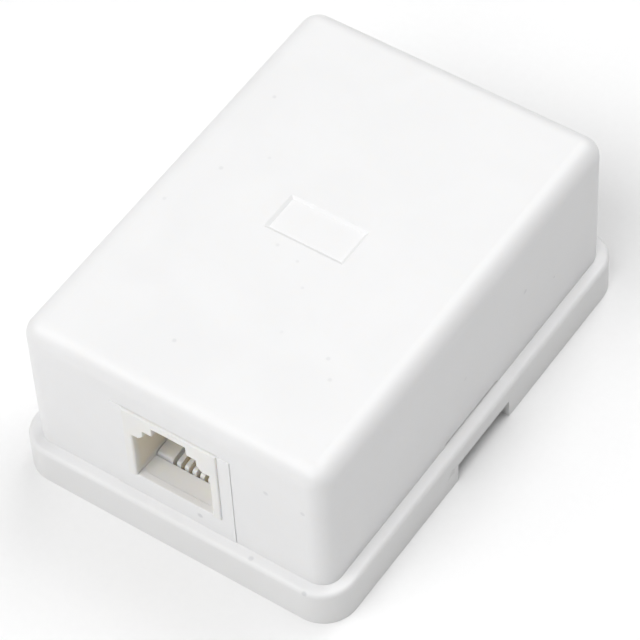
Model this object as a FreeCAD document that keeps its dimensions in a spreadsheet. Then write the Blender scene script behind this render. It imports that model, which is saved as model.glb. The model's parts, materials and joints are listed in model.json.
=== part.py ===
import FreeCAD, Part
import Sketcher
import math
import os

# Surface mount jack box for a telephone outlet: a moulded base screwed to the
# wall, a modular jack insert standing in its front panel, four screw terminals
# wired to the insert by spade-lugged leads, and a press-on cover.
# Millimetres.  +Z is up (away from the wall), the jack opening faces -Y, and the
# origin is the middle of the back plane.

Vec = FreeCAD.Vector
doc = FreeCAD.newDocument("surface_jack_box")
sheet = doc.addObject("Spreadsheet::Sheet", "Dims")
sheet.Label = "Dims"

DIMS = [
    # rim of the base
    ("rim_hx", 21.05, "half width over the rim"),
    ("rim_hy", 29.35, "half length over the rim"),
    ("rim_top", 5.05, "top face of the rim"),
    ("rim_rv", 4.1, "rim corner radius in plan"),
    ("rim_rt", 0.55, "rounding of the rim's top edge"),
    ("skirt", 1.2, "skirt wall"),
    ("chan_top", 3.45, "roof of the hollow behind the skirt"),
    ("floor_lo", 1.0, "underside of the floor"),
    ("floor_hi", 2.6, "top of the floor"),
    ("lip_hx", 17.55, "half width of the locating lip"),
    ("lip_hy", 25.85, "half length of the locating lip"),
    ("lip_wall", 1.25, "lip wall"),
    ("lip_rv", 0.9, "lip corner radius"),
    ("lip_top", 7.6, "top of the lip"),
    # front panel of the base
    ("pan_hx", 7.66, "half width of the front panel"),
    ("pan_front", 27.9, "front face of the panel, distance from the origin"),
    ("pan_skin", 27.1, "back of the panel's front skin"),
    ("pan_groove", 26.0, "back of the slide groove"),
    ("pan_back", 24.6, "back of the panel's uprights"),
    ("pan_top", 19.21, "top of the uprights"),
    ("win_hx", 6.1, "half width of the cut-out for the jack"),
    ("win_bot", 8.14, "sill of the cut-out in the front skin, level with the jack's floor"),
    ("groove_hx", 6.8, "half width across the slide grooves"),
    ("groove_bot", 5.45, "bottom of the slide grooves"),
    ("seat", 3.95, "seat under the jack insert"),
    # cable entry
    ("notch_hy", 5.2, "half length of the cable notch in the skirt"),
    ("notch_top", 2.7, "top of the cable notch"),
    ("entry_x", 11.8, "inner edge of the cable hole in the floor"),
    ("entry_hy", 5.0, "half length of the cable hole"),
    # wall screw holes
    ("ws_front", 1.5, "front wall-screw hole, behind the origin towards the jack"),
    ("ws_rear", 20.0, "rear wall-screw hole"),
    ("ws_rad", 2.1, "wall-screw hole radius"),
    ("ws_csk", 3.75, "countersink radius"),
    ("ws_boss", 4.9, "boss radius"),
    ("ws_btop", 3.4, "boss top"),
    # terminals
    ("term_x", 10.5, "terminal post, half spacing across"),
    ("term_front", 9.5, "front pair of terminal posts"),
    ("term_rear", 19.3, "rear pair of terminal posts"),
    ("post_rad", 3.5, "post radius"),
    ("post_top", 9.0, "top of the posts"),
    ("bore_rad", 1.78, "screw hole radius in the post"),
    ("bore_bot", 3.2, "bottom of the screw hole"),
    ("shank_rad", 1.72, "screw radius over the thread"),
    ("shank_bot", 3.8, "screw point"),
    ("head_rad", 2.95, "screw head radius"),
    ("head_tall", 2.1, "screw head height"),
    ("slot_wide", 0.9, "driver slot width"),
    ("slot_deep", 1.1, "driver slot depth"),
    ("wash_rad", 3.3, "washer radius"),
    ("wash_bore", 1.85, "washer hole radius"),
    ("wash_thick", 0.6, "washer thickness"),
    ("lug_thick", 0.5, "lug sheet thickness"),
    ("lug_rad", 3.1, "lug ring radius"),
    ("lug_slot", 1.9, "lug slot half width"),
    ("lug_neck", 1.3, "lug neck half width"),
    ("lug_bar0", 3.9, "crimp barrel, near end from the screw axis"),
    ("lug_bar1", 7.4, "crimp barrel, far end"),
    ("bar_rad", 0.95, "crimp barrel outer radius"),
    ("bar_bore", 0.5, "crimp barrel bore radius"),
    # leads and contact wires
    ("lead_rad", 0.475, "lead radius over its insulation"),
    ("lead_z", 5.5, "height of the leads at the back of the insert"),
    ("lead_y", 12.6, "start of the leads, distance from the origin"),
    ("wire_rad", 0.225, "contact wire radius"),
    ("pitch", 1.02, "contact pitch"),
    # cover
    ("cov_hx", 19.5, "half width of the cover"),
    ("cov_hy", 27.8, "half length of the cover"),
    ("cov_top", 23.95, "top of the cover"),
    ("cov_wall", 1.8, "cover wall"),
    ("cov_rv", 2.4, "cover corner radius in plan"),
    ("cov_rt", 2.3, "rounding round the cover's top"),
    ("cov_ri", 1.0, "inner corner radius"),
    ("cn_hx", 7.68, "half width of the cover's front notch"),
    ("cn_top", 19.23, "top of the cover's front notch"),
    ("rec_hx", 4.87, "half width of the recess on top, half way down its sides"),
    ("rec_hy", 2.48, "half length of the recess on top, half way down its sides"),
    ("rec_deep", 0.24, "depth of the recess on top"),
    ("rec_run", 0.2, "how far the recess's sloping sides lean out from half way"),
    ("pry_hy", 5.25, "half length of the pry slot"),
    ("pry_gap", 0.28, "height of the open gap of the pry slot"),
    ("pry_tall", 0.42, "height of the pry slot's bevel"),
    ("pry_deep", 0.15, "depth of the pry slot's bevel"),
    ("bead", 0.1, "snap bead height"),
    # jack housing
    ("jf_hx", 6.08, "half width of the jack's frame"),
    ("jf_bot", 8.18, "foot of the frame's uprights, on the sill"),
    ("jf_top", 19.21, "top of the frame"),
    ("jf_front", 28.12, "front face of the frame"),
    ("jf_back", 27.07, "back of the frame, front of the flange"),
    ("fl_hx", 6.7, "half width of the flange"),
    ("fl_bot", 5.5, "bottom of the flange"),
    ("fl_top", 18.95, "top of the flange and body"),
    ("fl_back", 26.06, "back of the flange"),
    ("jb_hx", 5.95, "half width of the insert's body"),
    ("jb_bot", 4.0, "bottom of the insert's body"),
    ("jb_back", 13.5, "back of the insert's body"),
    ("op_hx", 4.95, "half width of the plug opening"),
    ("op_bot", 8.14, "floor of the plug opening at its front"),
    ("op_top", 15.4, "top of the wide part of the opening"),
    ("key_hx", 3.44, "half width of the keyway's first step"),
    ("key_bev", 0.6, "bevel at the foot of the first step"),
    ("key_mid", 17.0, "top of the first step"),
    ("key_hxb", 2.2, "half width of the keyway's second step"),
    ("key_top", 18.3, "top of the keyway"),
    ("key_wall", 26.7, "back of the keyway steps"),
    ("latch_back", 19.0, "back of the latch room"),
    ("flo_y", 27.0, "where the floor starts to fall"),
    ("flo_end", 24.62, "inner end of the floor, at the contact block"),
    ("flo_bot", 7.86, "height of the floor's inner end"),
    ("cb_floor", 5.0, "floor under the contact block"),
    # contact block
    ("cb_hx", 4.88, "half width of the contact block"),
    ("cb_front", 24.49, "front of the contact block"),
    ("cb_nose", 8.34, "height of the ribs at the nose"),
    ("cb_crest", 8.8, "height of the ribs at the back"),
    ("cb_creast", 18.6, "where the ribs level out"),
    ("cb_wall", 16.5, "front of the back wall"),
    ("cb_back", 14.0, "back of the contact block"),
    ("cb_top", 15.3, "top of the back wall"),
    ("cb_base", 5.06, "underside of the contact block"),
    ("slot_w", 0.5, "comb slot width"),
    # foam pad
    ("pad_hx", 14.0, "half width of the foam pad"),
    ("pad_y0", 22.5, "front edge of the foam pad"),
    ("pad_y1", 6.5, "back edge of the foam pad"),
]

VALUE = {}
for row, (alias, val, note) in enumerate(DIMS, start=1):
    sheet.set("A%d" % row, note)
    sheet.set("B%d" % row, "%g" % val)
    sheet.setAlias("B%d" % row, alias)
    VALUE[alias] = float("%g" % val)
doc.recompute()


class Q(object):
    """A length that carries both its number and the sheet expression for it."""

    def __init__(self, val, expr):
        self.v = float(val)
        self.e = expr

    def _mix(self, other, op):
        o = num(other)
        if op == "+":
            r = self.v + o.v
        elif op == "-":
            r = self.v - o.v
        elif op == "*":
            r = self.v * o.v
        else:
            r = self.v / o.v
        return Q(r, "(%s %s %s)" % (self.e, op, o.e))

    def __add__(self, o):
        return self._mix(o, "+")

    def __radd__(self, o):
        return num(o)._mix(self, "+")

    def __sub__(self, o):
        return self._mix(o, "-")

    def __rsub__(self, o):
        return num(o)._mix(self, "-")

    def __mul__(self, o):
        return self._mix(o, "*")

    def __rmul__(self, o):
        return num(o)._mix(self, "*")

    def __truediv__(self, o):
        return self._mix(o, "/")

    def __neg__(self):
        return Q(-self.v, "(0 - %s)" % self.e)


def num(x):
    if isinstance(x, Q):
        return x
    return Q(x, ("%.6g" % x) if x >= 0 else "(0 - %.6g)" % (-x))


def D(alias):
    return Q(VALUE[alias], "Dims." + alias)


# ---------------------------------------------------------------- sketch helpers
def body(label):
    b = doc.addObject("PartDesign::Body", label)
    b.Label = label
    b.Placement = FreeCAD.Placement(Vec(0, 0, 0), FreeCAD.Rotation())
    return b


def plane_of(b, role):
    return [f for f in b.Origin.OriginFeatures if f.Role == role][0]


def sketch(b, name, role, off=0.0):
    s = b.newObject("Sketcher::SketchObject", name)
    s.AttachmentSupport = [(plane_of(b, role), "")]
    s.MapMode = "FlatFace"
    o = num(off)
    s.AttachmentOffset = FreeCAD.Placement(Vec(0, 0, o.v), FreeCAD.Rotation())
    if isinstance(off, Q):
        s.setExpression("AttachmentOffset.Base.z", o.e)
    return s


def pin(s, axis, geo, pos, q):
    """Fix one coordinate of a point from the sketch's origin."""
    q = num(q)
    i = s.addConstraint(Sketcher.Constraint("Distance" + axis, -1, 1, geo, pos, q.v))
    s.setExpression("Constraints[%d]" % i, q.e)


def radius(s, geo, q):
    q = num(q)
    i = s.addConstraint(Sketcher.Constraint("Radius", geo, q.v))
    s.setExpression("Constraints[%d]" % i, q.e)


def poly(s, pts):
    """Closed polygon, each corner placed from the sketch's origin."""
    pts = [(num(x), num(y)) for x, y in pts]
    n = len(pts)
    first = s.GeometryCount
    for k in range(n):
        a, b = pts[k], pts[(k + 1) % n]
        s.addGeometry(Part.LineSegment(Vec(a[0].v, a[1].v, 0), Vec(b[0].v, b[1].v, 0)), False)
    for k in range(n):
        s.addConstraint(Sketcher.Constraint("Coincident", first + k, 2, first + (k + 1) % n, 1))
    for k in range(n):
        pin(s, "X", first + k, 1, pts[k][0])
        pin(s, "Y", first + k, 1, pts[k][1])


def rect(s, x0, x1, y0, y1):
    """Upright rectangle with horizontal and vertical sides."""
    x0, x1, y0, y1 = num(x0), num(x1), num(y0), num(y1)
    g = s.GeometryCount
    c = [(x0.v, y0.v), (x1.v, y0.v), (x1.v, y1.v), (x0.v, y1.v)]
    for k in range(4):
        a, b = c[k], c[(k + 1) % 4]
        s.addGeometry(Part.LineSegment(Vec(a[0], a[1], 0), Vec(b[0], b[1], 0)), False)
    for k in range(4):
        s.addConstraint(Sketcher.Constraint("Coincident", g + k, 2, g + (k + 1) % 4, 1))
    s.addConstraint(Sketcher.Constraint("Horizontal", g))
    s.addConstraint(Sketcher.Constraint("Vertical", g + 1))
    s.addConstraint(Sketcher.Constraint("Horizontal", g + 2))
    s.addConstraint(Sketcher.Constraint("Vertical", g + 3))
    pin(s, "X", g, 1, x0)
    pin(s, "Y", g, 1, y0)
    pin(s, "X", g + 2, 1, x1)
    pin(s, "Y", g + 2, 1, y1)


def rrect(s, x0, x1, y0, y1, r):
    """Rectangle with round corners: four lines and four tangent arcs."""
    x0, x1, y0, y1, r = num(x0), num(x1), num(y0), num(y1), num(r)
    g = s.GeometryCount
    R = r.v
    arcs = [((x1.v - R, y0.v + R), -90), ((x1.v - R, y1.v - R), 0), ((x0.v + R, y1.v - R), 90), ((x0.v + R, y0.v + R), 180)]
    lines = [((x0.v + R, y0.v), (x1.v - R, y0.v)), ((x1.v, y0.v + R), (x1.v, y1.v - R)),
             ((x1.v - R, y1.v), (x0.v + R, y1.v)), ((x0.v, y1.v - R), (x0.v, y0.v + R))]
    for k in range(4):
        a, b = lines[k]
        s.addGeometry(Part.LineSegment(Vec(a[0], a[1], 0), Vec(b[0], b[1], 0)), False)
        c, ang = arcs[k]
        s.addGeometry(Part.ArcOfCircle(Part.Circle(Vec(c[0], c[1], 0), Vec(0, 0, 1), R),
                                       math.radians(ang), math.radians(ang + 90)), False)
    for k in range(4):
        s.addConstraint(Sketcher.Constraint("Tangent", g + 2 * k, 2, g + 2 * k + 1, 1))
        s.addConstraint(Sketcher.Constraint("Tangent", g + 2 * k + 1, 2, g + (2 * k + 2) % 8, 1))
    s.addConstraint(Sketcher.Constraint("Horizontal", g))
    s.addConstraint(Sketcher.Constraint("Vertical", g + 2))
    s.addConstraint(Sketcher.Constraint("Horizontal", g + 4))
    s.addConstraint(Sketcher.Constraint("Vertical", g + 6))
    radius(s, g + 1, r)
    for k in (3, 5, 7):
        s.addConstraint(Sketcher.Constraint("Equal", g + 1, g + k))
    pin(s, "Y", g, 1, y0)
    pin(s, "X", g + 2, 1, x1)
    pin(s, "Y", g + 4, 1, y1)
    pin(s, "X", g + 6, 1, x0)


def circle(s, x, y, r):
    x, y, r = num(x), num(y), num(r)
    g = s.addGeometry(Part.Circle(Vec(x.v, y.v, 0), Vec(0, 0, 1), r.v), False)
    pin(s, "X", g, 3, x)
    pin(s, "Y", g, 3, y)
    radius(s, g, r)


# ---------------------------------------------------------------- feature helpers
def pad(b, s, length, reverse=False, middle=False, name="Pad"):
    f = b.newObject("PartDesign::Pad", name)
    f.Profile = s
    q = num(length)
    f.Length = q.v
    f.setExpression("Length", q.e)
    if middle:
        f.SideType = "Symmetric"
    f.Reversed = reverse
    s.Visibility = False
    return f


def pocket(b, s, length, reverse=False, middle=False, name="Pocket", check=True):
    before = None
    if check:
        doc.recompute()
        before = b.Shape.Volume
    f = b.newObject("PartDesign::Pocket", name)
    f.Profile = s
    q = num(length)
    f.Length = q.v
    f.setExpression("Length", q.e)
    if middle:
        f.SideType = "Symmetric"
    f.Reversed = reverse
    if check:
        doc.recompute()
        if not b.Shape.Volume < before - 1e-4:
            raise RuntimeError("pocket %s in %s cuts nothing" % (f.Name, b.Label))
    return f


def slab(b, name, x0, x1, y0, y1, z0, z1, r=None):
    """Pad of a rectangle lying flat, from z0 up to z1."""
    s = sketch(b, "Sk_" + name, "XY_Plane", z0)
    if r is None:
        rect(s, x0, x1, y0, y1)
    else:
        rrect(s, x0, x1, y0, y1, r)
    return pad(b, s, num(z1) - num(z0), name=name)


def well(b, name, x0, x1, y0, y1, z0, z1, r=None, check=True):
    """Pocket of a rectangle, from z1 down to z0."""
    s = sketch(b, "Sk_" + name, "XY_Plane", z1)
    if r is None:
        rect(s, x0, x1, y0, y1)
    else:
        rrect(s, x0, x1, y0, y1, r)
    return pocket(b, s, num(z1) - num(z0), name=name, check=check)


def edges_where(b, test):
    out = []
    for i, ed in enumerate(b.Shape.Edges, start=1):
        if test(ed):
            out.append("Edge%d" % i)
    return out


def all_on(ed, fn):
    n = 5
    a, z = ed.FirstParameter, ed.LastParameter
    for k in range(n):
        if not fn(ed.valueAt(a + (z - a) * k / (n - 1.0))):
            return False
    return True


def dress(b, kind, size, test, name):
    """Fillet or chamfer on the edges that pass the test."""
    doc.recompute()
    base = b.Tip
    names = edges_where(b, test)
    if not names:
        raise RuntimeError("no edge for %s in %s" % (name, b.Label))
    f = b.newObject("PartDesign::" + kind, name)
    f.Base = (base, names)
    q = num(size)
    if kind == "Fillet":
        f.Radius = q.v
        f.setExpression("Radius", q.e)
    else:
        f.Size = q.v
        f.setExpression("Size", q.e)
    doc.recompute()
    if not f.isValid() or f.Shape.isNull():
        raise RuntimeError("%s failed in %s" % (name, b.Label))
    return f


def near(a, b, tol=1e-3):
    return abs(a - b) < tol


NODES = []

# ================================================================ base
base = body("base")
slab(base, "Rim", -D("rim_hx"), D("rim_hx"), -D("rim_hy"), D("rim_hy"), 0, D("rim_top"), D("rim_rv"))
dress(base, "Fillet", D("rim_rt"), lambda e: all_on(e, lambda p: near(p.z, VALUE["rim_top"])), "RimEdge")
# the inside of the tray and the locating lip
slab(base, "Lip", -D("lip_hx"), D("lip_hx"), -D("lip_hy"), D("lip_hy"), D("rim_top"), D("lip_top"), D("lip_rv"))
in_x, in_y = D("lip_hx") - D("lip_wall"), D("lip_hy") - D("lip_wall")
well(base, "Tray", -in_x, in_x, -in_y, in_y, D("floor_hi"), D("lip_top"), 0.6)
# front panel: one upright block, cut for the jack afterwards
slab(base, "Panel", -D("pan_hx"), D("pan_hx"), -D("pan_front"), -D("pan_back"), D("floor_hi"), D("pan_top"))
# support under the insert, side guides and back stop
slab(base, "Seat", -5.0, 5.0, -D("pan_back"), -15.5, D("floor_hi"), D("seat"))
slab(base, "Stop", -5.0, 5.0, -13.3, -12.1, D("floor_hi"), 4.9)
slab(base, "GuideL", -7.3, -6.1, -17.6, -14.6, D("floor_hi"), 9.0)
slab(base, "GuideR", 6.1, 7.3, -17.6, -14.6, D("floor_hi"), 9.0)
# terminal posts and wall-screw bosses
s = sketch(base, "Sk_Posts", "XY_Plane", D("floor_hi"))
for sx in (-1, 1):
    for ty in ("term_front", "term_rear"):
        circle(s, D("term_x") if sx > 0 else -D("term_x"), D(ty), D("post_rad"))
pad(base, s, D("post_top") - D("floor_hi"), name="Posts")
s = sketch(base, "Sk_Bosses", "XY_Plane", D("floor_hi"))
circle(s, 0, -D("ws_front"), D("ws_boss") - 0.5)
circle(s, 0, D("ws_rear"), D("ws_boss") - 0.5)
pad(base, s, D("ws_btop") - D("floor_hi"), name="Bosses")
# jack cut-out: front skin, slide grooves, seat
well(base, "CutSkin", -D("win_hx"), D("win_hx"), -(D("pan_front") + 0.5), -(D("pan_skin") - 0.05), D("win_bot"), D("pan_top") + 1)
well(base, "CutGroove", -D("groove_hx"), D("groove_hx"), -D("pan_skin"), -D("pan_groove"), D("groove_bot"), D("pan_top") + 1)
well(base, "CutSeat", -D("win_hx"), D("win_hx"), -(D("pan_groove") + 0.15), -(D("pan_back") - 0.3), D("seat"), D("pan_top") + 1)
# terminal screw holes
s = sketch(base, "Sk_Bores", "XY_Plane", D("post_top"))
for sx in (-1, 1):
    for ty in ("term_front", "term_rear"):
        circle(s, D("term_x") if sx > 0 else -D("term_x"), D(ty), D("bore_rad"))
pocket(base, s, D("post_top") - D("bore_bot"), name="Bores")
# underside: recess below the floor, and the hollow behind the skirt
s = sketch(base, "Sk_Under", "XY_Plane", 0)
rrect(s, -in_x, in_x, -in_y, in_y, 0.6)
pocket(base, s, D("floor_lo"), reverse=True, name="Under")
s = sketch(base, "Sk_Hollow", "XY_Plane", 0)
ch_x, ch_y = D("rim_hx") - D("skirt"), D("rim_hy") - D("skirt")
rrect(s, -ch_x, ch_x, -ch_y, ch_y, D("rim_rv") - D("skirt"))
rrect(s, -D("lip_hx"), D("lip_hx"), -D("lip_hy"), D("lip_hy"), D("lip_rv"))
pocket(base, s, D("chan_top"), reverse=True, name="Hollow")
# cable notch through the skirt, and the cable hole through the floor and inner wall
s = sketch(base, "Sk_Notch", "XY_Plane", 0)
rect(s, D("rim_hx") - D("skirt") - 0.4, D("rim_hx") + 1, -D("notch_hy"), D("notch_hy"))
pocket(base, s, D("notch_top"), reverse=True, name="CableNotch")
s = sketch(base, "Sk_Entry", "XY_Plane", 0)
rect(s, D("entry_x"), D("lip_hx") + 0.4, -D("entry_hy"), D("entry_hy"))
pocket(base, s, D("floor_hi") + 0.1, reverse=True, name="CableHole")
# wall-screw holes with countersinks
s = sketch(base, "Sk_WallHoles", "XY_Plane", D("ws_btop"))
circle(s, 0, -D("ws_front"), D("ws_rad"))
circle(s, 0, D("ws_rear"), D("ws_rad"))
pocket(base, s, D("ws_btop"), name="WallHoles")
for nm, yy in (("CskFront", -D("ws_front")), ("CskRear", D("ws_rear"))):
    doc.recompute()
    before = base.Shape.Volume
    s = sketch(base, "Sk_" + nm, "YZ_Plane", 0)
    rise = D("ws_csk") - D("ws_rad")
    poly(s, [(yy, D("ws_btop") - rise), (yy + D("ws_rad"), D("ws_btop") - rise), (yy + D("ws_csk"), D("ws_btop")), (yy, D("ws_btop"))])
    g = base.newObject("PartDesign::Groove", nm)
    g.Profile = s
    g.ReferenceAxis = (s, ["Edge4"])
    g.Angle = 360.0
    doc.recompute()
    if not base.Shape.Volume < before - 1e-3:
        raise RuntimeError("countersink cuts nothing")
# snap beads: small blisters on the outside of the lip
for nm, x0, x1 in (("BeadL", -D("lip_hx") - D("bead"), -D("lip_hx") + 0.3), ("BeadR", D("lip_hx") - 0.3, D("lip_hx") + D("bead"))):
    s = sketch(base, "Sk_" + nm, "XY_Plane", 6.2)
    rect(s, x0, x1, -16.0, -12.0)
    rect(s, x0, x1, 12.0, 16.0)
    pad(base, s, 0.6, name=nm)
# softened edges that show
doc.recompute()
YF = -VALUE["pan_front"]
dress(base, "Fillet", 0.15,
      lambda e: all_on(e, lambda p: near(p.y, YF) and p.z > VALUE["rim_top"] + 0.5 and
                       (near(abs(p.x), VALUE["pan_hx"]))) or
      all_on(e, lambda p: near(p.y, YF) and near(p.z, VALUE["pan_top"])), "PanelEdges")
dress(base, "Fillet", 0.12,
      lambda e: all_on(e, lambda p: near(p.y, YF) and near(p.z, VALUE["win_bot"]) and abs(p.x) < VALUE["win_hx"] + 0.01), "SillEdge")
dress(base, "Fillet", 0.15,
      lambda e: all_on(e, lambda p: near(p.z, VALUE["post_top"]) and near(math.hypot(abs(p.x) - VALUE["term_x"], min(abs(p.y - VALUE["term_front"]), abs(p.y - VALUE["term_rear"]))), VALUE["post_rad"])), "PostEdges")
NODES.append(base)

# ================================================================ cover
cover = body("cover")
cw = D("cov_wall")
slab(cover, "Shell", -D("cov_hx"), D("cov_hx"), -D("cov_hy"), D("cov_hy"), D("rim_top"), D("cov_top"), D("cov_rv"))
dress(cover, "Fillet", D("cov_rt"), lambda e: all_on(e, lambda p: near(p.z, VALUE["cov_top"])), "TopEdge")
s = sketch(cover, "Sk_Inside", "XY_Plane", D("rim_top"))
rrect(s, -(D("cov_hx") - cw), D("cov_hx") - cw, -(D("cov_hy") - cw), D("cov_hy") - cw, D("cov_ri"))
pocket(cover, s, D("cov_top") - cw - D("rim_top"), reverse=True, name="Inside")
dress(cover, "Fillet", 0.8, lambda e: all_on(e, lambda p: near(p.z, VALUE["cov_top"] - VALUE["cov_wall"])), "InnerTop")
# hold-down rib over the insert and two stiffeners
slab(cover, "HoldDown", -4.0, 4.0, -23.4, -22.2, D("fl_top") + 0.15, D("cov_top") - cw + 0.2)
slab(cover, "RibL", -D("cov_hx") + cw - 0.2, -D("cov_hx") + cw + 1.0, -0.6, 0.6, 9.0, D("cov_top") - cw + 0.2)
slab(cover, "RibR", D("cov_hx") - cw - 1.0, D("cov_hx") - cw + 0.2, -0.6, 0.6, 9.0, D("cov_top") - cw + 0.2)
# notch for the front panel
well(cover, "FrontNotch", -D("cn_hx"), D("cn_hx"), -D("cov_hy") - 1, -D("cov_hy") + cw + 0.1, D("rim_top") - 1, D("cn_top"))
# recess on top, bare
s = sketch(cover, "Sk_TopRecess", "XY_Plane", D("cov_top"))
rect(s, -D("rec_hx") - D("rec_run"), D("rec_hx") + D("rec_run"), -D("rec_hy") - D("rec_run"), D("rec_hy") + D("rec_run"))
rec = pocket(cover, s, D("rec_deep"), name="TopRecess")
rec.TaperAngle = -math.degrees(math.atan2(2.0 * VALUE["rec_run"], VALUE["rec_deep"]))
rec.setExpression("TaperAngle", "-atan(2 * Dims.rec_run / Dims.rec_deep)")
doc.recompute()
foot = [e.BoundBox.XMax for e in cover.Shape.Edges if near(e.BoundBox.ZMin, VALUE["cov_top"] - VALUE["rec_deep"], 1e-3) and near(e.BoundBox.ZLength, 0, 1e-3)]
if not near(max(foot), VALUE["rec_hx"] - VALUE["rec_run"], 0.01):
    raise RuntimeError("recess sides lean the wrong way: %.3f" % max(foot))
# pry slot: an open gap with a bevel above it
s = sketch(cover, "Sk_Pry", "XZ_Plane", 0)
hx = D("cov_hx")
poly(s, [(hx - cw - 0.5, D("rim_top") - 0.5), (hx + 0.5, D("rim_top") - 0.5), (hx + 0.5, D("rim_top") + D("pry_tall")),
         (hx, D("rim_top") + D("pry_tall")), (hx - D("pry_deep"), D("rim_top") + D("pry_gap")), (hx - cw - 0.5, D("rim_top") + D("pry_gap"))])
pocket(cover, s, D("pry_hy") * 2, middle=True, name="PrySlot")
doc.recompute()
dress(cover, "Fillet", 0.12,
      lambda e: all_on(e, lambda p: near(p.y, -VALUE["cov_hy"]) and p.z > VALUE["rim_top"] + 0.3 and near(abs(p.x), VALUE["cn_hx"])) or
      all_on(e, lambda p: near(p.y, -VALUE["cov_hy"]) and near(p.z, VALUE["cn_top"])), "NotchEdges")
NODES.append(cover)

# ================================================================ jack housing
jack = body("jack_housing")
JF, JB = D("jf_front"), D("jf_back")
s = sketch(jack, "Sk_Frame", "XZ_Plane", JF)
rect(s, -D("jf_hx"), D("jf_hx"), D("jf_bot"), D("jf_top"))
pad(jack, s, JF - JB, reverse=True, name="Frame")
doc.recompute()
if jack.Shape.BoundBox.YMin < -VALUE["jf_front"] - 1e-3:
    raise RuntimeError("frame pad points the wrong way")
s = sketch(jack, "Sk_Flange", "XZ_Plane", JB)
rect(s, -D("fl_hx"), D("fl_hx"), D("fl_bot"), D("fl_top"))
pad(jack, s, JB - D("fl_back"), reverse=True, name="Flange")
s = sketch(jack, "Sk_Body", "XZ_Plane", D("fl_back"))
rect(s, -D("jb_hx"), D("jb_hx"), D("jb_bot"), D("fl_top"))
pad(jack, s, D("fl_back") - D("jb_back"), reverse=True, name="Body")
# plug channel: it runs out through the foot of the frame, over the sill
s = sketch(jack, "Sk_Channel", "XZ_Plane", JF + 0.5)
rect(s, -D("op_hx"), D("op_hx"), D("op_bot"), D("op_top"))
pocket(jack, s, JF - D("jb_back") + 2, name="Channel")
# gently falling floor and the room for the contact block
s = sketch(jack, "Sk_Floor", "YZ_Plane", 0)
poly(s, [(-D("flo_y"), D("op_bot")), (-D("flo_end"), D("flo_bot")), (-D("flo_end"), D("cb_floor")),
         (-D("jb_back") + 0.5, D("cb_floor")), (-D("jb_back") + 0.5, D("op_bot") + 0.5), (-D("flo_y"), D("op_bot") + 0.5)])
pocket(jack, s, D("op_hx") * 2, middle=True, name="Floor")
# keyway
s = sketch(jack, "Sk_KeyA", "XZ_Plane", JF + 0.5)
kx, kb = D("key_hx"), D("key_bev")
poly(s, [(-(kx + kb), D("op_top") - 0.1), (kx + kb, D("op_top") - 0.1), (kx + kb, D("op_top")), (kx, D("op_top") + kb * 1.15), (kx, D("key_mid")),
         (-kx, D("key_mid")), (-kx, D("op_top") + kb * 1.15), (-(kx + kb), D("op_top"))])
pocket(jack, s, JF - D("key_wall") + 0.5, name="KeyA")
s = sketch(jack, "Sk_KeyB", "XZ_Plane", JF + 0.5)
rect(s, -D("key_hxb"), D("key_hxb"), D("key_mid") - 0.1, D("key_top"))
pocket(jack, s, JF - D("key_wall") + 0.5, name="KeyB")
well(jack, "LatchRoom", -3.7, 3.7, -D("key_wall") - 0.02, -D("latch_back"), D("op_top") - 0.1, D("key_top"))
dress(jack, "Fillet", 0.2,
      lambda e: all_on(e, lambda p: near(p.y, -VALUE["jf_front"]) and (near(abs(p.x), VALUE["jf_hx"]) or near(p.z, VALUE["jf_top"]))), "FrameEdges")
dress(jack, "Fillet", 0.3,
      lambda e: near(e.BoundBox.XLength, 0, 1e-4) and e.BoundBox.ZLength > 5.0 and near(e.CenterOfMass.y, -VALUE["jf_front"]) and near(abs(e.CenterOfMass.x), VALUE["op_hx"]), "MouthSides")
dress(jack, "Fillet", 0.12,
      lambda e: all_on(e, lambda p: near(p.y, -VALUE["jf_front"]) and abs(p.x) < VALUE["op_hx"] + 0.01) and
      e.BoundBox.ZMin > VALUE["op_top"] - 0.01 and e.BoundBox.ZMax < VALUE["key_top"] + 0.01, "KeyEdges")
NODES.append(jack)

# ================================================================ contact block
cb = body("contact_block")
s = sketch(cb, "Sk_Side", "YZ_Plane", 0)
poly(s, [(-D("cb_front"), D("cb_base")), (-D("cb_back"), D("cb_base")), (-D("cb_back"), D("cb_top")), (-D("cb_wall"), D("cb_top")),
         (-D("cb_wall"), D("cb_crest")), (-D("cb_creast"), D("cb_crest")), (-D("cb_front"), D("cb_nose"))])
pad(cb, s, D("cb_hx") * 2, middle=True, name="Block")
dress(cb, "Fillet", 0.38, lambda e: all_on(e, lambda p: near(p.y, -VALUE["cb_front"]) and near(p.z, VALUE["cb_nose"])), "Nose")
# six comb slots, wrapped round the nose from underneath to the back wall
s = sketch(cb, "Sk_Slot", "YZ_Plane", D("pitch") * -2.5)
sy = -D("cb_front")
poly(s, [(sy - 0.5, D("cb_base") - 0.3), (-D("cb_back") + 0.3, D("cb_base") - 0.3), (-D("cb_back") + 0.3, D("cb_base") + 0.84),
         (sy + 0.84, D("cb_base") + 0.84), (sy + 0.84, 6.7), (-D("cb_creast"), D("cb_crest") - 0.85), (-D("cb_wall") + 1.0, D("cb_crest") - 0.85),
         (-D("cb_wall") + 1.0, D("cb_top") + 0.3), (-D("cb_wall") - 1.0, D("cb_top") + 0.3), (-D("cb_wall") - 1.0, D("cb_crest") + 0.6), (sy - 0.5, D("cb_crest") + 0.6)])
first_slot = pocket(cb, s, D("slot_w"), middle=True, name="Slot")
lp = cb.newObject("PartDesign::LinearPattern", "Comb")
lp.Originals = [first_slot]
lp.Direction = (plane_of(cb, "X_Axis"), [""])
lp.Mode = "Extent"
lp.Length = VALUE["pitch"] * 5
lp.setExpression("Length", "Dims.pitch * 5")
lp.Occurrences = 6
cb.Tip = lp
doc.recompute()
NODES.append(cb)

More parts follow.
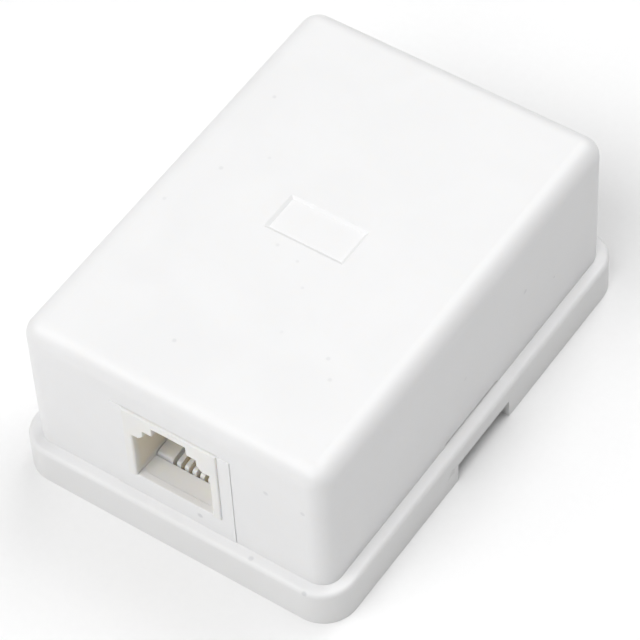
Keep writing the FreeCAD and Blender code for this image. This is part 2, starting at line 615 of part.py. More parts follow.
# ================================================================ contact wires
WIRE_PTS = [(-VALUE["lead_y"], VALUE["lead_z"]), (-24.08, VALUE["lead_z"]), (-24.08, 7.05), (-15.9, 7.05 + 8.18 * math.tan(math.radians(21.0)))]
BEND = 0.6


def round_route(pts, radii):
    """Edges of a route: straight runs joined by tangent arcs."""
    pts = [Vec(*p) for p in pts]
    edges = []
    start = pts[0]
    for k in range(1, len(pts) - 1):
        a = (pts[k - 1] - pts[k]).normalize()
        b = (pts[k + 1] - pts[k]).normalize()
        turn = math.pi - a.getAngle(b)
        t = radii[k - 1] * math.tan(turn / 2.0)
        p, q = pts[k] + a * t, pts[k] + b * t
        mid_dir = (a + b).normalize()
        mid = pts[k] + mid_dir * (radii[k - 1] / math.cos(turn / 2.0) - radii[k - 1])
        edges.append(Part.LineSegment(start, p).toShape())
        edges.append(Part.Arc(p, mid, q).toShape())
        start = q
    edges.append(Part.LineSegment(start, pts[-1]).toShape())
    return edges


def tube(edges, r):
    """Solid round wire swept along a route; its volume is compared with section times length."""
    path = Part.Wire(edges)
    first = edges[0]
    p0 = first.valueAt(first.FirstParameter)
    t0 = first.tangentAt(first.FirstParameter)
    prof = Part.Wire([Part.Circle(p0, t0, r).toShape()])
    solid = path.makePipeShell([prof], True, False)
    if solid.ShapeType != "Solid":
        solid = Part.Solid(Part.Shell(solid.Faces)) if solid.Shells == [] else Part.Solid(solid.Shells[0])
    want = math.pi * r * r * path.Length
    if abs(solid.Volume - want) > 0.01 * want:
        raise RuntimeError("tube volume %.4f, expected %.4f" % (solid.Volume, want))
    return solid, path.Length


for k, fac in enumerate((-1.5, -0.5, 0.5, 1.5), start=1):
    w = doc.addObject("Part::Feature", "contact_wire_%d" % k)
    w.Label = "contact_wire_%d" % k
    x = VALUE["pitch"] * fac
    shp, ln = tube(round_route([(x, y, z) for y, z in WIRE_PTS], [BEND, BEND]), VALUE["wire_rad"])
    w.Shape = shp
    w.Placement = FreeCAD.Placement(Vec(0, 0, 0), FreeCAD.Rotation())
    NODES.append(w)
print("contact wire length %.2f mm, bend radius %.2f" % (ln, BEND))

# ================================================================ terminals
TERMS = [(-1, "term_front", 0.0), (-1, "term_rear", 45.0), (1, "term_rear", -45.0), (1, "term_front", 0.0)]
# each terminal: side, pair, and the turn of its lug about the screw axis


def at(sx, ty, ang=0.0):
    return FreeCAD.Placement(Vec(sx * VALUE["term_x"], VALUE[ty], 0), FreeCAD.Rotation(Vec(0, 0, 1), ang))


def place(obj, sx, ty, ang=0.0):
    obj.Placement = at(sx, ty, ang)
    obj.setExpression("Placement.Base.x", ("" if sx > 0 else "-1 * ") + "Dims.term_x")
    obj.setExpression("Placement.Base.y", "Dims." + ty)


for k, (sx, ty, ang) in enumerate(TERMS, start=1):
    # spade lug: stamped fork with a crimped barrel, pointing to -Y in its own frame
    lug = body("spade_lug_%d" % k)
    PT, LT = D("post_top"), D("lug_thick")
    s = sketch(lug, "Sk_Fork%d" % k, "XY_Plane", PT)
    ls, ln_, lr = D("lug_slot"), D("lug_neck"), D("lug_rad")
    circle(s, 0, 0, lr)
    pad(lug, s, LT, name="Fork%d" % k)
    s = sketch(lug, "Sk_Neck%d" % k, "XY_Plane", PT)
    rect(s, -ln_, ln_, -D("lug_bar0") - 0.3, -1.0)
    pad(lug, s, LT, name="Neck%d" % k)
    s = sketch(lug, "Sk_Barrel%d" % k, "XZ_Plane", D("lug_bar0"))
    circle(s, 0, PT + D("bar_rad"), D("bar_rad"))
    pad(lug, s, D("lug_bar1") - D("lug_bar0"), name="Barrel%d" % k)
    s = sketch(lug, "Sk_Bore%d" % k, "XZ_Plane", D("lug_bar0") - 0.6)
    circle(s, 0, PT + D("bar_rad"), D("bar_bore"))
    pocket(lug, s, D("lug_bar1") - D("lug_bar0") + 1.2, reverse=True, name="BarBore%d" % k)
    s = sketch(lug, "Sk_Gap%d" % k, "XY_Plane", PT + LT)
    circle(s, 0, 0, ls)
    pocket(lug, s, LT, name="Eye%d" % k)
    s = sketch(lug, "Sk_Mouth%d" % k, "XY_Plane", PT + LT)
    rect(s, -(ls - 0.1), ls - 0.1, 0.5, lr + 0.5)
    pocket(lug, s, LT, name="Mouth%d" % k)
    dress(lug, "Fillet", 0.25, lambda e: near(e.BoundBox.ZLength, VALUE["lug_thick"], 1e-3) and e.BoundBox.XLength < 1e-4 and e.BoundBox.YLength < 1e-4 and e.CenterOfMass.y > 1.5, "TineEnds%d" % k)
    place(lug, sx, ty, ang)
    NODES.append(lug)
    # washer
    wa = body("terminal_washer_%d" % k)
    s = sketch(wa, "Sk_Ring%d" % k, "XY_Plane", PT + LT)
    circle(s, 0, 0, D("wash_rad"))
    circle(s, 0, 0, D("wash_bore"))
    pad(wa, s, D("wash_thick"), name="Ring%d" % k)
    dress(wa, "Fillet", 0.12, lambda e: near(e.BoundBox.ZLength, 0, 1e-4) and e.BoundBox.XLength > 2 * VALUE["wash_rad"] - 0.01, "RingEdge%d" % k)
    place(wa, sx, ty)
    NODES.append(wa)
    # pan-head screw with a driver slot
    sc = body("terminal_screw_%d" % k)
    s = sketch(sc, "Sk_Turn%d" % k, "XZ_Plane", 0)
    z0 = PT + LT + D("wash_thick")
    hr, ht, sr, sb = D("head_rad"), D("head_tall"), D("shank_rad"), D("shank_bot")
    poly(s, [(0, sb), (sr - 0.55, sb), (sr, sb + 0.7), (sr, z0), (hr, z0), (hr, z0 + ht * 0.55), (hr - 0.35, z0 + ht * 0.86), (hr - 1.2, z0 + ht), (0, z0 + ht)])
    r = sc.newObject("PartDesign::Revolution", "Turned%d" % k)
    r.Profile = s
    r.ReferenceAxis = (s, ["V_Axis"])
    r.Angle = 360.0
    doc.recompute()
    dress(sc, "Fillet", 0.3, lambda e: near(e.BoundBox.ZLength, 0, 1e-4) and near(e.BoundBox.ZMin, VALUE["post_top"] + VALUE["lug_thick"] + VALUE["wash_thick"] + VALUE["head_tall"] * 0.55, 1e-3), "HeadEdge%d" % k)
    s = sketch(sc, "Sk_Slot%d" % k, "XY_Plane", z0 + ht)
    rect(s, -hr - 0.5, hr + 0.5, D("slot_wide") / -2, D("slot_wide") / 2)
    pocket(sc, s, D("slot_deep"), name="DriverSlot%d" % k)
    place(sc, sx, ty)
    NODES.append(sc)

# ================================================================ leads
# Each lead runs from its contact wire at the back of the insert to the crimp
# barrel of its lug: straight runs joined by tangent arcs.
LZ, LY, TX = VALUE["lead_z"], VALUE["lead_y"], VALUE["term_x"]
BZ = VALUE["post_top"] + VALUE["bar_rad"]
PTH = VALUE["pitch"]
c45 = math.sqrt(0.5)
GX, GY = TX - c45 * 9.5, VALUE["term_rear"] - c45 * 9.5
EX, EY = TX - c45 * 4.5, VALUE["term_rear"] - c45 * 4.5
OUTER = [(PTH * 1.5, -LY, LZ), (PTH * 1.5, -9.4, LZ), (8.0, -5.2, 6.9), (TX, -0.4, BZ), (TX, VALUE["term_front"] - 4.5, BZ)]
INNER = [(PTH * 0.5, -LY, LZ), (PTH * 0.5, -7.4, LZ), (4.7, -2.9, 5.6), (4.9, 3.8, 6.9), (4.0, 9.2, 9.2), (GX, GY, BZ), (EX, EY, BZ)]
ROUTES = {"lead_yellow": (OUTER, -1), "lead_green": (INNER, -1), "lead_red": (INNER, 1), "lead_black": (OUTER, 1)}


def soft_radii(pts):
    out = []
    for k in range(1, len(pts) - 1):
        a = Vec(*pts[k - 1]) - Vec(*pts[k])
        b = Vec(*pts[k + 1]) - Vec(*pts[k])
        turn = math.pi - a.getAngle(b)
        out.append(0.45 * min(a.Length, b.Length) / math.tan(turn / 2.0))
    return out


for nm in ("lead_yellow", "lead_green", "lead_red", "lead_black"):
    route, sx = ROUTES[nm]
    pts = [(sx * x, y, z) for x, y, z in route]
    rad = soft_radii(pts)
    # keep the last run straight inside the crimp barrel
    shp, ln = tube(round_route(pts, rad), VALUE["lead_rad"])
    o = doc.addObject("Part::Feature", nm)
    o.Label = nm
    o.Shape = shp
    o.Placement = FreeCAD.Placement(Vec(0, 0, 0), FreeCAD.Rotation())
    NODES.append(o)
    print("%s length %.1f mm, bend radii %s" % (nm, ln, ", ".join("%.1f" % r for r in rad)))

# ================================================================ foam pad
foam = body("foam_pad")
slab(foam, "Pad", -D("pad_hx"), D("pad_hx"), -D("pad_y0"), -D("pad_y1"), 0, D("floor_lo"), 1.0)
NODES.append(foam)

# ================================================================ checks and export
doc.recompute()
bad = [o.Name for o in doc.Objects if ("Invalid" in o.State) or ("Error" in o.State)]
if bad:
    raise RuntimeError("failed objects: %s" % ", ".join(bad))
for o in NODES:
    if o.Shape.isNull() or not o.Shape.isValid():
        raise RuntimeError("bad shape: " + o.Label)
    if len(o.Shape.Solids) != 1:
        raise RuntimeError("%s has %d solids" % (o.Label, len(o.Shape.Solids)))
os.makedirs("parts", exist_ok=True)
for o in NODES:
    o.Shape.exportStep("parts/" + o.Label + ".step")
bb = FreeCAD.BoundBox()
for o in NODES:
    bb.add(o.Shape.BoundBox)
print("%d nodes, overall %.2f x %.2f x %.2f mm" % (len(NODES), bb.XLength, bb.YLength, bb.ZLength))
for o in NODES:
    print("%-20s %9.3f mm3" % (o.Label, o.Shape.Volume))
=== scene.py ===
import json
import math

import bmesh
import bpy
from mathutils import Matrix, Vector


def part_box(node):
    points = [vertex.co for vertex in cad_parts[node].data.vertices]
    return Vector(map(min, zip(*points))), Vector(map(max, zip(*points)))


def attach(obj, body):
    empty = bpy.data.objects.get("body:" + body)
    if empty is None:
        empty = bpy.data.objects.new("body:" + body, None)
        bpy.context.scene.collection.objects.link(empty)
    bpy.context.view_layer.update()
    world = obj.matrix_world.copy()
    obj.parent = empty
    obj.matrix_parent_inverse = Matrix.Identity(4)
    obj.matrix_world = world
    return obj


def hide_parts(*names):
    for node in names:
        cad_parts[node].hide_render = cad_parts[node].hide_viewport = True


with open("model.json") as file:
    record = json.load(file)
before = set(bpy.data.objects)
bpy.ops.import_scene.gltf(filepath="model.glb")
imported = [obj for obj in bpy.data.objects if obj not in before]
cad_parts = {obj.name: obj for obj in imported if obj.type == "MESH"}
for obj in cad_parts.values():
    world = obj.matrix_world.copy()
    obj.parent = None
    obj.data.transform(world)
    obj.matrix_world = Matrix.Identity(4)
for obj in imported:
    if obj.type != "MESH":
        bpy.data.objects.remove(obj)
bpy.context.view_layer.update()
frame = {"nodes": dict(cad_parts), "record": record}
NODES = frame["nodes"]
MM = 0.001
scene = bpy.context.scene


# ---------------------------------------------------------------- node helpers
class Tree(object):
    """Builds one material's node tree."""

    def __init__(self, name):
        self.mat = bpy.data.materials.new(name)
        self.mat.use_nodes = True
        self.t = self.mat.node_tree
        self.t.nodes.clear()
        self.out = self.t.nodes.new("ShaderNodeOutputMaterial")
        self.bsdf = self.t.nodes.new("ShaderNodeBsdfPrincipled")
        self.t.links.new(self.bsdf.outputs[0], self.out.inputs["Surface"])
        self.coord = self.t.nodes.new("ShaderNodeTexCoord").outputs["Object"]

    def node(self, kind, **props):
        n = self.t.nodes.new(kind)
        for k, v in props.items():
            setattr(n, k, v)
        return n

    def link(self, a, b):
        self.t.links.new(a, b)

    def put(self, sock, v):
        if isinstance(v, bpy.types.NodeSocket):
            self.link(v, sock)
        else:
            sock.default_value = v

    def math(self, op, a, b=0.0, c=0.0, clamp=False):
        n = self.node("ShaderNodeMath", operation=op, use_clamp=clamp)
        self.put(n.inputs[0], a)
        self.put(n.inputs[1], b)
        self.put(n.inputs[2], c)
        return n.outputs[0]

    def noise(self, feature, detail=2.0, rough=0.5, vec=None, distort=0.0):
        """Noise whose features are about this many metres across."""
        n = self.node("ShaderNodeTexNoise")
        self.link(vec or self.coord, n.inputs["Vector"])
        n.inputs["Scale"].default_value = 1.0 / feature
        n.inputs["Detail"].default_value = detail
        n.inputs["Roughness"].default_value = rough
        n.inputs["Distortion"].default_value = distort
        return n.outputs["Fac"]

    def cells(self, feature, vec=None):
        n = self.node("ShaderNodeTexVoronoi")
        self.link(vec or self.coord, n.inputs["Vector"])
        n.inputs["Scale"].default_value = 1.0 / feature
        return n.outputs["Distance"]

    def remap(self, v, a, b, c, d, smooth=False):
        n = self.node("ShaderNodeMapRange")
        n.interpolation_type = "SMOOTHSTEP" if smooth else "LINEAR"
        self.put(n.inputs["Value"], v)
        n.inputs["From Min"].default_value = a
        n.inputs["From Max"].default_value = b
        n.inputs["To Min"].default_value = c
        n.inputs["To Max"].default_value = d
        return n.outputs["Result"]

    def mix(self, fac, a, b, blend="MIX"):
        n = self.node("ShaderNodeMix", data_type="RGBA", blend_type=blend)
        self.put(n.inputs[0], fac)
        for sock, v in ((n.inputs[6], a), (n.inputs[7], b)):
            if isinstance(v, bpy.types.NodeSocket):
                self.link(v, sock)
            else:
                sock.default_value = tuple(v) + (1.0,) if len(v) == 3 else v
        return n.outputs[2]

    def away(self, point, stretch=(1.0, 1.0, 1.0)):
        """Distance from a point on the object, in metres."""
        sub = self.node("ShaderNodeVectorMath", operation="SUBTRACT")
        self.link(self.coord, sub.inputs[0])
        sub.inputs[1].default_value = point
        sc = self.node("ShaderNodeVectorMath", operation="MULTIPLY")
        self.link(sub.outputs[0], sc.inputs[0])
        sc.inputs[1].default_value = stretch
        ln = self.node("ShaderNodeVectorMath", operation="LENGTH")
        self.link(sc.outputs[0], ln.inputs[0])
        return ln.outputs["Value"]

    def bump(self, height, strength, distance, chain=None):
        n = self.node("ShaderNodeBump")
        n.inputs["Strength"].default_value = strength
        n.inputs["Distance"].default_value = distance
        self.link(height, n.inputs["Height"])
        if chain is not None:
            self.link(chain, n.inputs["Normal"])
        return n.outputs["Normal"]

    def finish(self, colour, rough, normal=None, metallic=0.0, specular=0.5, ior=1.5, sss=0.0, reach=0.0006, glow=(1.0, 0.9, 0.8)):
        b = self.bsdf
        self.put(b.inputs["Base Color"], colour if isinstance(colour, bpy.types.NodeSocket) else tuple(colour) + (1.0,))
        self.put(b.inputs["Roughness"], rough)
        b.inputs["Metallic"].default_value = metallic
        b.inputs["Specular IOR Level"].default_value = specular
        b.inputs["IOR"].default_value = ior
        if sss:
            b.inputs["Subsurface Weight"].default_value = sss
            b.inputs["Subsurface Radius"].default_value = glow
            b.inputs["Subsurface Scale"].default_value = reach
        if normal is not None:
            self.link(normal, b.inputs["Normal"])
        return self.mat


def scaled(c, k):
    return tuple(v * k for v in c)


# ---------------------------------------------------------------- white mouldings
def moulded(name, base, rough=0.42, grain=0.00016, grain_depth=0.000012, specks=(), smudges=(), mottle=0.02, warm=(1.0, 0.985, 0.955), sss=0.06, reach=0.0006, glow=(1.0, 0.9, 0.8), rim_painted_shade=0.0, painted_inner_shade=None):
    """Injection-moulded ABS: spark-eroded grain, faint flow mottling, a few dirt specks and smudges; optionally painted
    shade on the lower rim, and painted warm shade with a painted paler floor inside the jack mouth.
    """
    m = Tree(name)
    fine = m.noise(grain, 3.0, 0.62)
    mid = m.noise(0.0011, 2.0, 0.55)
    broad = m.noise(0.011, 3.0, 0.5, distort=0.4)
    tone = m.mix(m.remap(broad, 0.3, 0.7, 0.0, 1.0, True), scaled(base, 1.0 - mottle), base)
    tint = tuple(b * w for b, w in zip(base, warm))
    tone = m.mix(m.remap(mid, 0.45, 0.8, 0.0, 0.35, True), tone, tint)
    tone = m.mix(m.remap(fine, 0.25, 0.42, 0.25, 0.0, True), tone, scaled(base, 0.94))
    if painted_inner_shade is not None:
        depth_in = m.node("ShaderNodeSeparateXYZ")
        m.link(m.coord, depth_in.inputs[0])
        deep = m.remap(depth_in.outputs[1], -0.0279, -0.0269, 0.0, 1.0, True)
        # painted light: jack surfaces behind the front millimetre and below about 8.8 mm, chiefly the mouth floor, are
        # painted paler, standing in for light falling on that floor
        tone = m.mix(m.math("MULTIPLY", deep, m.remap(depth_in.outputs[2], 0.0082, 0.0088, 0.9, 0.0, True)), tone, (0.940, 0.938, 0.928))
        # painted shade: jack surfaces behind the front millimetre and above about 8.3 mm are tinted towards a warm
        # colour, standing in for warm inter-reflected shade inside the jack mouth
        deep = m.math("MULTIPLY", deep, m.remap(depth_in.outputs[2], 0.0083, 0.0094, 0.0, 1.0, True))
        tone = m.mix(m.math("MULTIPLY", deep, m.remap(broad, 0.3, 0.7, 0.75, 0.95)), tone, painted_inner_shade)
    # painted shade: everything below about 5 mm is darkened towards grey, standing in for less light on the lower rim
    # walls
    if rim_painted_shade:
        height = m.node("ShaderNodeSeparateXYZ")
        m.link(m.coord, height.inputs[0])
        band = m.remap(height.outputs[2], 0.0043, 0.0051, rim_painted_shade, 0.0, True)
        tone = m.mix(m.math("MULTIPLY", band, m.remap(broad, 0.3, 0.7, 0.75, 1.0)), tone, (0.63, 0.625, 0.61))
    for (x, y, z), r, depth in specks:
        d = m.away((x * MM, y * MM, z * MM))
        mask = m.remap(d, r * 0.35 * MM, r * MM, depth, 0.0, True)
        tone = m.mix(mask, tone, (0.36, 0.37, 0.40))
    for (x, y, z), (sx, sy, sz), depth in smudges:
        d = m.away((x * MM, y * MM, z * MM), (1.0 / (sx * MM), 1.0 / (sy * MM), 1.0 / (sz * MM)))
        wob = m.math("ADD", d, m.remap(m.noise(0.0006, 3.0, 0.6), 0.3, 0.7, -0.45, 0.45))
        mask = m.remap(wob, 0.35, 1.0, depth, 0.0, True)
        tone = m.mix(mask, tone, (0.50, 0.50, 0.48))
    ro = m.math("ADD", m.remap(fine, 0.3, 0.7, rough - 0.05, rough + 0.06), m.remap(broad, 0.3, 0.7, -0.03, 0.03))
    nrm = m.bump(fine, 0.55, grain_depth)
    nrm = m.bump(mid, 0.25, 0.00001, nrm)
    return m.finish(tone, ro, nrm, specular=0.45, ior=1.53, sss=sss, reach=reach, glow=glow)


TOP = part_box("cover")[1][2] / MM
COVER_SPECKS = [
    ((-14.72, 13.34, TOP), 0.32, 0.17), ((-13.71, 1.66, TOP), 0.35, 0.15), ((-16.40, -5.18, TOP), 0.32, 0.13),
    ((-10.07, 5.65, TOP), 0.27, 0.10), ((-2.32, -4.06, TOP), 0.30, 0.13), ((0.77, -4.81, TOP), 0.27, 0.13),
    ((3.27, -7.53, TOP), 0.27, 0.11), ((-4.05, -20.52, TOP), 0.34, 0.18), ((4.80, -13.60, TOP), 0.27, 0.08),
    ((10.87, -13.94, TOP), 0.34, 0.15), ((12.58, -16.15, TOP), 0.34, 0.14),
    ((12.14, -27.80, 17.26), 0.42, 0.22), ((16.74, -27.80, 17.05), 0.40, 0.21),
    ((19.50, 10.86, 14.91), 0.42, 0.22), ((19.50, -1.2, 12.6), 0.36, 0.12), ((19.50, 16.9, 11.2), 0.22, 0.28),
]
BASE_SPECKS = [
    ((-8.41, -27.90, 6.90), 0.42, 0.22), ((3.08, -27.90, 6.65), 0.46, 0.34), ((10.11, -28.69, 5.05), 0.42, 0.26),
    ((17.28, -29.30, 4.80), 0.42, 0.28),
]
BASE_SMUDGES = [((21.05, -6.4, 2.6), (0.7, 1.1, 0.7), 0.30)]

WHITE = (0.865, 0.865, 0.868)
JACK_WHITE = (0.870, 0.862, 0.838)
BLOCK_WHITE = (0.850, 0.826, 0.760)

MATS = {}
# the base gets painted shade on its lower rim
MATS["white_plastic"] = moulded("white_plastic", WHITE, specks=BASE_SPECKS, smudges=BASE_SMUDGES, rim_painted_shade=0.30)
MATS["white_plastic_cover"] = moulded("white_plastic_cover", WHITE, specks=COVER_SPECKS)
# the jack and its contact block get a painted warm shade inside and a painted paler mouth floor
MATS["jack_plastic"] = moulded("jack_plastic", JACK_WHITE, rough=0.36, grain=0.00022, grain_depth=0.000006, mottle=0.03, sss=0.35, reach=0.0012, glow=(1.0, 0.80, 0.55), painted_inner_shade=(0.870, 0.795, 0.655))
MATS["block_plastic"] = moulded("block_plastic", BLOCK_WHITE, rough=0.34, grain=0.00022, grain_depth=0.000006, mottle=0.05, warm=(1.0, 0.97, 0.90), sss=0.45, reach=0.0014, glow=(1.0, 0.74, 0.44), painted_inner_shade=(0.905, 0.825, 0.690))


# ---------------------------------------------------------------- metals
def plated(name, base, dark, rough, brush=None, tarnish=0.2, aniso=0.0):
    m = Tree(name)
    vec = m.coord
    if brush is not None:
        mp = m.node("ShaderNodeMapping")
        m.link(m.coord, mp.inputs["Vector"])
        mp.inputs["Scale"].default_value = brush
        vec = mp.outputs["Vector"]
    lines = m.noise(0.0002, 4.0, 0.6, vec=vec)
    cloud = m.noise(0.0016, 3.0, 0.55, distort=0.6)
    tone = m.mix(m.remap(cloud, 0.45, 0.8, 0.0, tarnish, True), base, dark)
    tone = m.mix(m.remap(lines, 0.2, 0.45, 0.35, 0.0, True), tone, scaled(base, 0.86))
    ro = m.math("ADD", m.remap(lines, 0.3, 0.7, rough - 0.06, rough + 0.08), m.remap(cloud, 0.4, 0.8, 0.0, 0.10))
    nrm = m.bump(lines, 0.35, 0.000006)
    mat = m.finish(tone, ro, nrm, metallic=1.0)
    m.bsdf.inputs["Anisotropic"].default_value = aniso
    return mat


MATS["gold_wire"] = plated("gold_wire", (0.86, 0.66, 0.30), (0.55, 0.38, 0.16), 0.24, (1.0, 0.05, 0.05), 0.35)
MATS["tinned_brass"] = plated("tinned_brass", (0.80, 0.78, 0.72), (0.58, 0.52, 0.40), 0.30, None, 0.45)
MATS["washer_steel"] = plated("washer_steel", (0.74, 0.75, 0.74), (0.50, 0.50, 0.47), 0.30, None, 0.35)
MATS["screw_steel"] = plated("screw_steel", (0.78, 0.77, 0.74), (0.52, 0.50, 0.46), 0.24, None, 0.30)


# ---------------------------------------------------------------- insulation and foam
def insulation(name, base):
    m = Tree(name)
    fine = m.noise(0.00012, 2.0, 0.5)
    broad = m.noise(0.0022, 2.0, 0.5)
    tone = m.mix(m.remap(broad, 0.35, 0.7, 0.0, 0.5, True), base, tuple(min(1.0, v * 1.25 + 0.01) for v in base))
    tone = m.mix(m.remap(fine, 0.25, 0.45, 0.3, 0.0, True), tone, scaled(base, 0.8))
    nrm = m.bump(fine, 0.3, 0.000008)
    return m.finish(tone, m.remap(broad, 0.3, 0.7, 0.30, 0.42), nrm, specular=0.5)


MATS["lead_yellow"] = insulation("lead_yellow", (0.86, 0.62, 0.04))
MATS["lead_green"] = insulation("lead_green", (0.02, 0.27, 0.07))
MATS["lead_red"] = insulation("lead_red", (0.55, 0.02, 0.015))
MATS["lead_black"] = insulation("lead_black", (0.018, 0.018, 0.019))


def foam():
    m = Tree("foam")
    pores = m.cells(0.00032)
    small = m.cells(0.00015)
    broad = m.noise(0.004, 2.0, 0.5)
    tone = m.mix(m.remap(broad, 0.3, 0.7, 0.0, 1.0), (0.74, 0.74, 0.71), (0.80, 0.80, 0.77))
    tone = m.mix(m.remap(pores, 0.0, 0.35, 0.55, 0.0, True), tone, (0.48, 0.48, 0.45))
    nrm = m.bump(pores, 0.8, 0.00006)
    nrm = m.bump(small, 0.4, 0.00003, nrm)
    return m.finish(tone, 0.88, nrm, specular=0.2)


MATS["foam"] = foam()

for row in frame["record"]["subparts"]:
    o = NODES[row["node"]]
    for slot in o.material_slots:
        slot.material = MATS[row["material_slot"]]

# ---------------------------------------------------------------- added pieces
def piece(name, bm, slot, body, angle=40.0):
    """Turns a bmesh into an object that rides on a body, with sharp edges kept sharp."""
    bmesh.ops.recalc_face_normals(bm, faces=bm.faces)
    me = bpy.data.meshes.new(name)
    bm.to_mesh(me)
    bm.free()
    me.polygons.foreach_set("use_smooth", [True] * len(me.polygons))
    me.set_sharp_from_angle(angle=math.radians(angle))
    me.materials.append(MATS[slot])
    o = bpy.data.objects.new(name, me)
    scene.collection.objects.link(o)
    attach(o, body)
    return o


def turned(bm, rows, steps, centre):
    """Skins rings of radius(angle), height into one closed turned solid."""
    rings = []
    for radius, z in rows:
        ring = []
        for i in range(steps):
            a = 2.0 * math.pi * i / steps
            r = radius(a) if callable(radius) else radius
            ring.append(bm.verts.new(((centre[0] + r * math.cos(a)) * MM, (centre[1] + r * math.sin(a)) * MM, z * MM)))
        rings.append(ring)
    for lo, hi in zip(rings, rings[1:]):
        for i in range(steps):
            j = (i + 1) % steps
            bm.faces.new((lo[i], lo[j], hi[j], hi[i]))
    bm.faces.new(list(reversed(rings[0])))
    bm.faces.new(rings[-1])


PITCH = 0.79375
STEPS = 48


def screw(k):
    """Pan-head terminal screw: rolled thread, rounded head, driver slot with broken edges."""
    node = "terminal_screw_%d" % k
    lo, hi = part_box(node)
    cx, cy = (lo.x + hi.x) / 2.0 / MM, (lo.y + hi.y) / 2.0 / MM
    tip, top = lo.z / MM, hi.z / MM
    head = (hi.x - lo.x) / 2.0 / MM
    seat = top - 2.1
    core, crest = 1.34, 1.71
    rows = []
    n = int(round((seat - 0.02 - tip) / (PITCH / 12.0)))
    for i in range(n + 1):
        z = tip + (seat - 0.02 - tip) * i / n
        fade = min(1.0, max(0.0, (seat - 0.12 - z) / 0.45), max(0.0, (z - tip) / 0.5))
        limit = 1.05 + (z - tip) * 0.9

        def radius(a, z=z, fade=fade, limit=limit):
            ph = (z / PITCH - a / (2.0 * math.pi)) % 1.0
            t = min(1.0, max(0.0, (1.0 - abs(2.0 * ph - 1.0) - 0.10) / 0.74))
            return min(core + (crest - core) * t * fade, limit)

        rows.append((radius, z))
    rows += [(core + 0.06, seat), (head - 0.14, seat), (head - 0.03, seat + 0.05), (head, seat + 0.16), (head, top - 1.0)]
    for i in range(1, 11):
        t = math.pi / 2.0 * i / 10.0
        rows.append((head - 1.2 * (1.0 - math.cos(t)), top - 1.0 + 0.985 * math.sin(t)))
    rows += [(1.1, top - 0.004), (0.45, top)]
    bm = bmesh.new()
    turned(bm, rows, STEPS, (cx, cy))
    bmesh.ops.recalc_face_normals(bm, faces=bm.faces)
    me = bpy.data.meshes.new(node + "_blank")
    bm.to_mesh(me)
    bm.free()
    blank = bpy.data.objects.new(node + "_blank", me)
    scene.collection.objects.link(blank)
    cut = bmesh.new()
    bmesh.ops.create_cube(cut, size=1.0)
    bmesh.ops.scale(cut, vec=(8.0 * MM, 0.9 * MM, 2.2 * MM), verts=cut.verts)
    bmesh.ops.translate(cut, vec=(cx * MM, cy * MM, top * MM), verts=cut.verts)
    cm = bpy.data.meshes.new(node + "_cut")
    cut.to_mesh(cm)
    cut.free()
    cutter = bpy.data.objects.new(node + "_cut", cm)
    scene.collection.objects.link(cutter)
    mod = blank.modifiers.new("slot", "BOOLEAN")
    mod.operation = "DIFFERENCE"
    mod.solver = "EXACT"
    mod.object = cutter
    done = bpy.data.meshes.new_from_object(blank.evaluated_get(bpy.context.evaluated_depsgraph_get()))
    out = bmesh.new()
    out.from_mesh(done)
    for o in (blank, cutter):
        bpy.data.objects.remove(o)
    bmesh.ops.remove_doubles(out, verts=out.verts, dist=0.000002)
    rim = [e for e in out.edges if len(e.link_faces) == 2 and e.calc_face_angle(0.0) > math.radians(50.0) and
           min(v.co.z for v in e.verts) > (top - 1.05) * MM and max(abs(v.co.y - cy * MM) for v in e.verts) < 0.47 * MM]
    bmesh.ops.bevel(out, geom=rim, offset=0.00006, segments=2, profile=0.5, affect="EDGES")
    bmesh.ops.remove_doubles(out, verts=out.verts, dist=0.000001)
    bmesh.ops.dissolve_degenerate(out, edges=out.edges, dist=0.000001)
    o = piece("screw_%d_threaded" % k, out, "screw_steel", "screw_%d" % k, 42.0)
    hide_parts(node)
    return cx, cy


def strands(k, cx, cy, turn):
    """Bare wire ends that stand out of the crimp barrel, seven strands with a slight lay."""
    lo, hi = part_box("spade_lug_%d" % k)
    axis_z = lo.z / MM + 0.95
    ca, sa = math.cos(math.radians(turn)), math.sin(math.radians(turn))
    bm = bmesh.new()
    for j in range(7):
        rad = 0.0 if j == 0 else 0.205
        r = 0.098
        end = 3.52 + 0.11 * ((j * 5) % 7) / 7.0
        path = []
        for i in range(9):
            t = i / 8.0
            along = 5.0 + (end - 5.0) * t
            ang = math.radians(60.0 * j + 55.0 * t)
            spread = rad * (1.0 + 0.22 * t * t)
            path.append(Vector((spread * math.cos(ang), -along, axis_z + spread * math.sin(ang))))
        rings = []
        for i, p in enumerate(path):
            d = (path[min(i + 1, 8)] - path[max(i - 1, 0)]).normalized()
            u = d.cross(Vector((0.0, 0.0, 1.0))).normalized()
            v = d.cross(u)
            rr = r if i < 8 else r * 0.82
            ring = []
            for q in range(10):
                a = 2.0 * math.pi * q / 10.0
                w = p + u * (rr * math.cos(a)) + v * (rr * math.sin(a))
                ring.append(bm.verts.new(((cx + w.x * ca - w.y * sa) * MM, (cy + w.x * sa + w.y * ca) * MM, w.z * MM)))
            rings.append(ring)
        for a_, b_ in zip(rings, rings[1:]):
            for q in range(10):
                n2 = (q + 1) % 10
                bm.faces.new((a_[q], a_[n2], b_[n2], b_[q]))
        bm.faces.new(list(reversed(rings[0])))
        bm.faces.new(rings[-1])
    piece("crimped_strands_%d" % k, bm, "gold_wire", "box", 50.0)


for k, turn in ((1, 0.0), (2, 45.0), (3, -45.0), (4, 0.0)):
    cx, cy = screw(k)
    strands(k, cx, cy, turn)

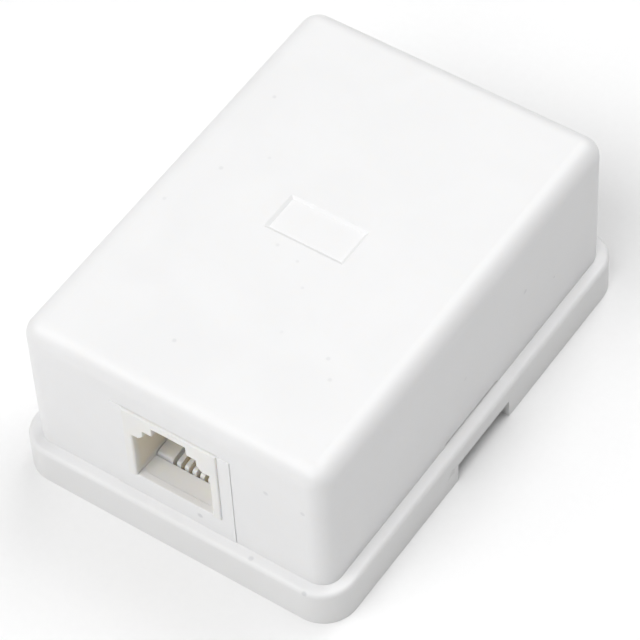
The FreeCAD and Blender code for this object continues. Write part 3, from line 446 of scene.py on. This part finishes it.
# ---------------------------------------------------------------- floor
mesh = bpy.data.meshes.new("floor")
bm = bmesh.new()
bmesh.ops.create_grid(bm, x_segments=8, y_segments=8, size=2.0)
bm.to_mesh(mesh)
bm.free()
floor = bpy.data.objects.new("floor", mesh)
scene.collection.objects.link(floor)
floor.location = (0.0, 0.0, -0.00002)
fm = Tree("floor")
paper = fm.noise(0.0009, 3.0, 0.6)
fm.finish(fm.mix(fm.remap(paper, 0.3, 0.7, 0.0, 1.0), (0.925, 0.925, 0.925), (0.935, 0.935, 0.935)), 0.9, fm.bump(paper, 0.1, 0.00001), specular=0.1)
mesh.materials.append(fm.mat)

# ---------------------------------------------------------------- light
world = bpy.data.worlds.new("studio")
scene.world = world
world.use_nodes = True
bg = world.node_tree.nodes["Background"]
bg.inputs["Color"].default_value = (1.0, 1.0, 1.0, 1.0)
bg.inputs["Strength"].default_value = 0.05


def area(name, where, size, power, colour=(1.0, 1.0, 1.0)):
    d = bpy.data.lights.new(name, "AREA")
    d.shape = "DISK"
    d.size = size
    d.energy = power
    d.color = colour
    o = bpy.data.objects.new(name, d)
    scene.collection.objects.link(o)
    w = Vector(where)
    o.matrix_world = Matrix.Translation(w) @ (-w).to_track_quat("-Z", "Y").to_matrix().to_4x4()
    return o


area("front", (0.0, -0.739, 0.946), 0.8, 6.65)
area("back", (0.0, 0.739, 0.946), 0.8, 4.87)
area("front_left", (-0.522, -0.522, 0.946), 0.8, 2.35)
area("low_left", (-0.678, -0.678, 0.722), 0.8, 1.96)
area("back_right", (0.522, 0.522, 0.946), 0.8, 1.1)
area("overhead_right", (0.220, 0.220, 1.159), 0.8, 3.35)

# ---------------------------------------------------------------- camera
AZ, EL, ROLL = math.radians(36.939), math.radians(51.151), math.radians(-3.615)
DIST, TX, TY, LENS = 378.115 * MM, -0.258 * MM, -0.352 * MM, 192.925
right = Vector((math.cos(AZ), math.sin(AZ), 0.0))
back = Vector((math.sin(AZ) * math.cos(EL), -math.cos(AZ) * math.cos(EL), math.sin(EL)))
up = back.cross(right)
r2 = right * math.cos(ROLL) + up * math.sin(ROLL)
u2 = up * math.cos(ROLL) - right * math.sin(ROLL)
eye = back * DIST + r2 * TX + u2 * TY + Vector((0.0, 0.0, 9.0 * MM))
cam = bpy.data.cameras.new("camera")
cam.lens = LENS
cam.sensor_width = 36.0
cam.clip_start = 0.01
cam.clip_end = 20.0
cam_obj = bpy.data.objects.new("camera", cam)
scene.collection.objects.link(cam_obj)
cam_obj.matrix_world = Matrix(((r2.x, u2.x, back.x, eye.x), (r2.y, u2.y, back.y, eye.y), (r2.z, u2.z, back.z, eye.z), (0, 0, 0, 1)))
scene.camera = cam_obj
scene.view_settings.view_transform = "Standard"
scene.view_settings.look = "None"
